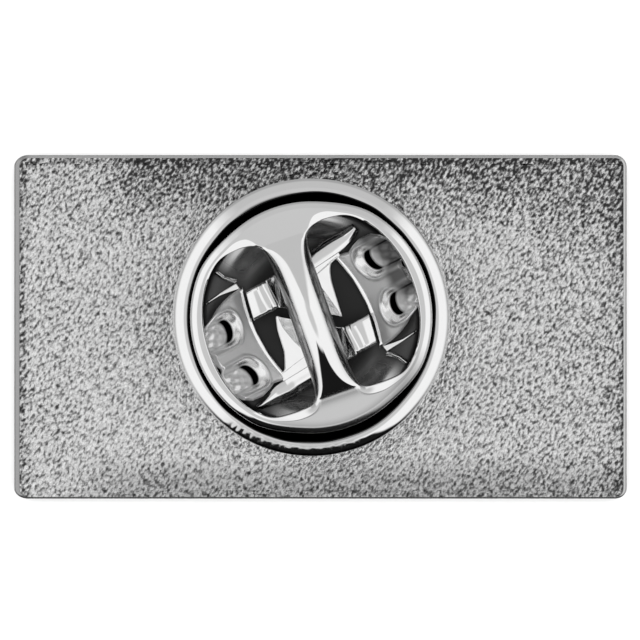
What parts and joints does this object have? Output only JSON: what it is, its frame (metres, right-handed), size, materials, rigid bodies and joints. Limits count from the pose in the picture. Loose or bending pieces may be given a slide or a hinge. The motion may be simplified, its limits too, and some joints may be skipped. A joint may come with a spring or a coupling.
{
  "type": "lapel pin",
  "caption": "Rectangular metal lapel pin lying face down, its soldered post held by a butterfly clutch that pulls off and has sprung wings to squeeze.",
  "frame": {"origin": "middle of the badge's front face, on the surface that the pin lies on", "axes": "+X along the badge's length, +Y across it, +Z out of its back along the post"},
  "size_m": [0.0254, 0.0142, 0.0085],
  "materials": {
    "badge_metal": "nickel-plated, with a fine blasted grain on the back and smooth edges",
    "clutch_metal": "bright nickel plate over brass sheet",
    "spring_metal": "bright nickel plate over spring sheet, a little uneven"
  },
  "bodies": {
    "pin": {"badge_plate": "badge_metal"},
    "clutch": {"clutch_base": "clutch_metal", "clutch_cap": "clutch_metal"},
    "left_wing": {"left_wing_jaw": "spring_metal"},
    "right_wing": {"right_wing_jaw": "spring_metal"}
  },
  "joints": [
    {"name": "clutch_pull", "type": "slide", "parent": "pin", "child": "clutch", "axis": [0, 0, 1], "range_m": [0, 0.006]},
    {"name": "left_squeeze", "type": "hinge", "parent": "clutch", "child": "left_wing", "pos_m": [-0.00246, -0.00071, 0.00461], "axis": [-0.4664, 0.8846, 0], "range_deg": [0, 8], "stiffness_Nm_per_rad": 0.005, "springref_deg": -2.86},
    {"name": "right_squeeze", "type": "hinge", "parent": "clutch", "child": "right_wing", "pos_m": [0.0017, 0.00149, 0.00461], "axis": [0.4664, -0.8846, 0], "range_deg": [0, 8], "stiffness_Nm_per_rad": 0.005, "springref_deg": -2.86}
  ]
}
